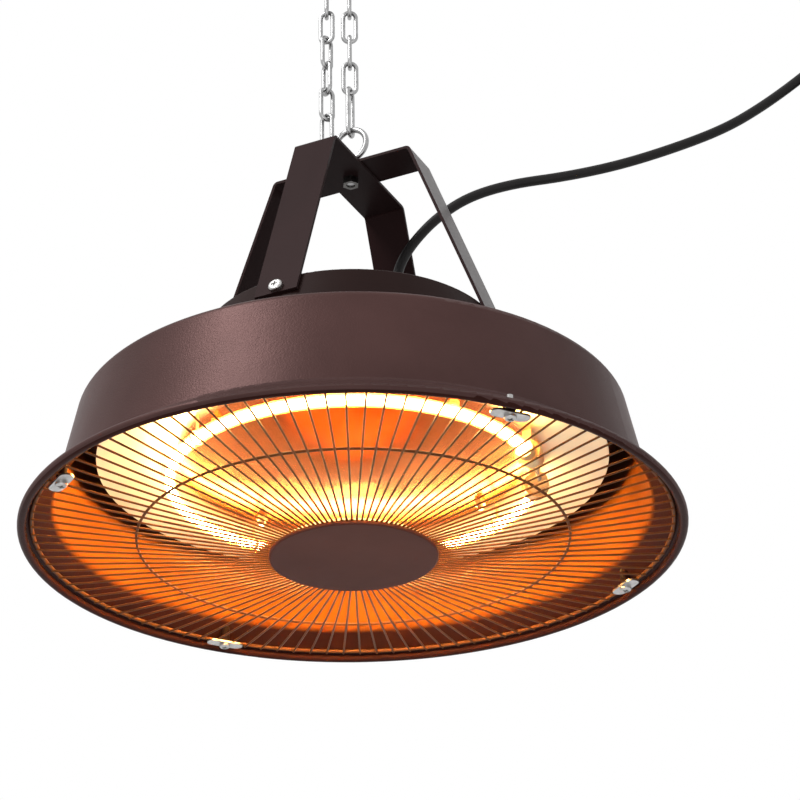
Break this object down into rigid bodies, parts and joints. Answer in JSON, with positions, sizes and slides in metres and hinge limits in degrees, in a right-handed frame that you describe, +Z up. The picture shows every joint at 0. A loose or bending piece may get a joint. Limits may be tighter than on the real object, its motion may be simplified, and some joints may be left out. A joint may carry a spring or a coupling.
{
  "type": "hanging patio heater",
  "caption": "Electric patio heater hung on a chain: round metal shade with a ring lamp behind a radial wire guard, crossed strap bridge on top, and a mains lead with its plug.",
  "frame": {"origin": "centre of the ceiling plate's top face", "axes": "+Z up out of the ceiling plate, X along the upper strap, Y along the lower strap"},
  "size_m": [0.5989, 0.459, 0.4962],
  "materials": {
    "plate_paint": "fine-texture powder coat",
    "zinc_wire": "zinc plated, satin",
    "zinc_fasteners": "zinc plated, bright",
    "strap_paint": "fine-texture powder coat",
    "cap_paint": "fine-texture powder coat",
    "shade_paint": "fine-texture powder coat",
    "reflector_metal": "bright rolled",
    "shield_steel": "plain",
    "quartz": "clear",
    "filament": "glowing",
    "ceramic": "unglazed",
    "lead_sleeve": "glass-fibre sleeve",
    "cutout_plastic": "moulded",
    "guard_wire": "powder coat",
    "disc_paint": "fine-texture powder coat",
    "gland_plastic": "moulded",
    "cable_rubber": "smooth rubber sheath",
    "tie_strap": "woven strap",
    "plug_plastic": "moulded",
    "pin_brass": "nickel plated"
  },
  "bodies": {
    "ceiling": {"ceiling_plate": "plate_paint", "ceiling_loop": "plate_paint"},
    "hanger": {"hanger_ring": "zinc_wire"},
    "chain_top": {"chain_links_top": "zinc_wire"},
    "chain_middle": {"chain_links_middle": "zinc_wire"},
    "chain_end": {"chain_end_links": "zinc_wire"},
    "heater": {"eye_bolt": "zinc_wire", "eye_nuts": "zinc_fasteners", "strap_screws": "zinc_fasteners", "strap_nuts": "zinc_fasteners", "cap_screws": "zinc_fasteners", "cap_nuts": "zinc_fasteners", "reflector_spacers": "zinc_fasteners", "reflector_screws": "zinc_fasteners", "reflector_nuts": "zinc_fasteners", "shield_posts": "zinc_fasteners", "shield_screws": "zinc_fasteners", "shield_nuts": "zinc_fasteners", "terminal_screws": "zinc_fasteners", "earth_screw": "zinc_fasteners", "disc_studs": "zinc_fasteners", "guard_clips": "zinc_fasteners", "clip_screws": "zinc_fasteners", "clip_bosses": "zinc_fasteners", "lamp_holders": "zinc_fasteners", "lamp_supports": "zinc_fasteners", "strap_lower": "strap_paint", "strap_upper": "strap_paint", "top_cap": "cap_paint", "shade": "shade_paint", "reflector": "reflector_metal", "heat_shield": "shield_steel", "disc_retainer": "shield_steel", "lamp_tube": "quartz", "lamp_filament": "filament", "lamp_end_caps": "ceramic", "lead_bushes": "ceramic", "terminal_block": "ceramic", "lamp_leads": "lead_sleeve", "thermal_cutout": "cutout_plastic", "guard_grille": "guard_wire", "guard_disc": "disc_paint", "cable_gland": "gland_plastic", "gland_nut": "gland_plastic", "strain_relief": "cable_rubber", "inner_lead": "cable_rubber", "supply_cable": "cable_rubber", "cable_coil": "cable_rubber", "plug_sleeve": "cable_rubber", "coil_tie": "tie_strap", "plug_body": "plug_plastic", "plug_pins": "pin_brass"}
  },
  "joints": [
    {"name": "hanger_on_loop", "type": "hinge", "parent": "ceiling", "child": "hanger", "pos_m": [0, 0, -0.016], "axis": [-0.4509, 0.8926, 0], "range_deg": [-15, 15]},
    {"name": "chain_on_hanger", "type": "hinge", "parent": "hanger", "child": "chain_top", "pos_m": [0, 0, -0.0562], "axis": [0.8926, 0.4509, 0], "range_deg": [-15, 15]},
    {"name": "chain_bend", "type": "hinge", "parent": "chain_top", "child": "chain_middle", "pos_m": [0, 0, -0.0991], "axis": [0.8926, 0.4509, 0], "range_deg": [-10, 10]},
    {"name": "chain_to_long_link", "type": "hinge", "parent": "chain_middle", "child": "chain_end", "pos_m": [0, 0, -0.1425], "axis": [0.8926, 0.4509, 0], "range_deg": [-10, 10]},
    {"name": "eye_on_long_link", "type": "hinge", "parent": "chain_end", "child": "heater", "pos_m": [0, 0, -0.1774], "axis": [0, 1, 0], "range_deg": [-15, 15]}
  ]
}
